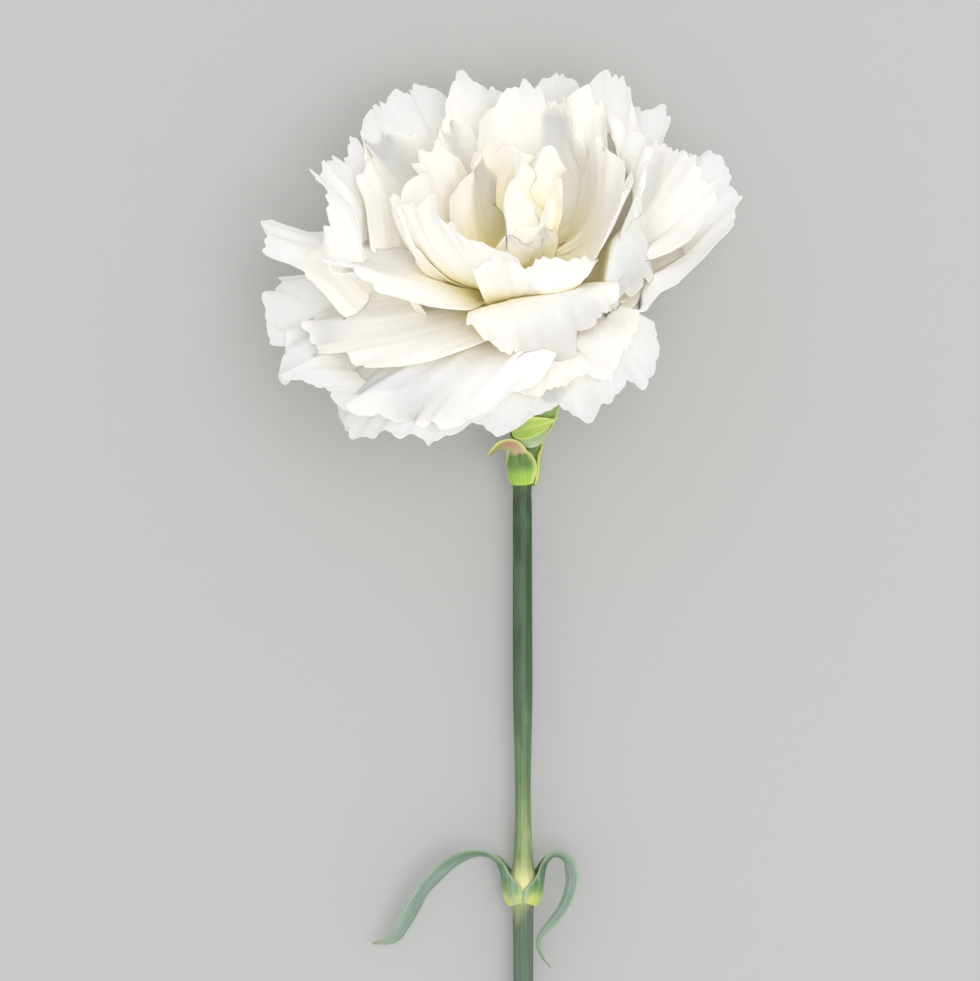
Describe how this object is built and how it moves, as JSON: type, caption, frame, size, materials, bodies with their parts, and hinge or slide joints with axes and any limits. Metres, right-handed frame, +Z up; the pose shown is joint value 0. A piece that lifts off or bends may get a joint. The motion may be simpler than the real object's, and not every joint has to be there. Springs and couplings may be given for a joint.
{
  "type": "cut carnation",
  "caption": "Cut carnation with a full double bloom, a jointed stem and curling strap leaves, lying on its side with the bloom turned up.",
  "frame": {"origin": "on the surface that the flower lies on, under the middle of its box", "axes": "+Y along the stem towards the bloom, +Z up from the surface, +X to the right of a viewer who looks down with the bloom at the top"},
  "size_m": [0.0848, 0.2756, 0.0583],
  "materials": {
    "petal": "matte",
    "calyx": "satin",
    "stem": "satin",
    "leaf": "matte",
    "bract": "satin",
    "pistil": "satin"
  },
  "bodies": {
    "root": {"bract_left": "bract", "bract_right": "bract", "calyx": "calyx", "epicalyx_scale_1": "bract", "epicalyx_scale_2": "bract", "epicalyx_scale_3": "bract", "epicalyx_scale_4": "bract", "leaf_left": "leaf", "leaf_right": "leaf", "lower_leaf_left": "leaf", "lower_leaf_right": "leaf", "petal_guard_1": "petal", "petal_guard_2": "petal", "petal_guard_3": "petal", "petal_guard_4": "petal", "petal_guard_5": "petal", "petal_guard_6": "petal", "petal_guard_7": "petal", "petal_guard_8": "petal", "petal_guard_9": "petal", "petal_heart_1": "petal", "petal_heart_2": "petal", "petal_heart_3": "petal", "petal_heart_4": "petal", "petal_heart_5": "petal", "petal_inner_1": "petal", "petal_inner_2": "petal", "petal_inner_3": "petal", "petal_inner_4": "petal", "petal_inner_5": "petal", "petal_inner_6": "petal", "petal_inner_7": "petal", "petal_inner_8": "petal", "petal_middle_1": "petal", "petal_middle_2": "petal", "petal_middle_3": "petal", "petal_middle_4": "petal", "petal_middle_5": "petal", "petal_middle_6": "petal", "petal_middle_7": "petal", "petal_middle_8": "petal", "petal_middle_9": "petal", "petal_outer_1": "petal", "petal_outer_2": "petal", "petal_outer_3": "petal", "petal_outer_4": "petal", "petal_outer_5": "petal", "petal_outer_6": "petal", "petal_outer_7": "petal", "petal_outer_8": "petal", "pistil": "pistil", "stem": "stem"}
  },
  "joints": []
}
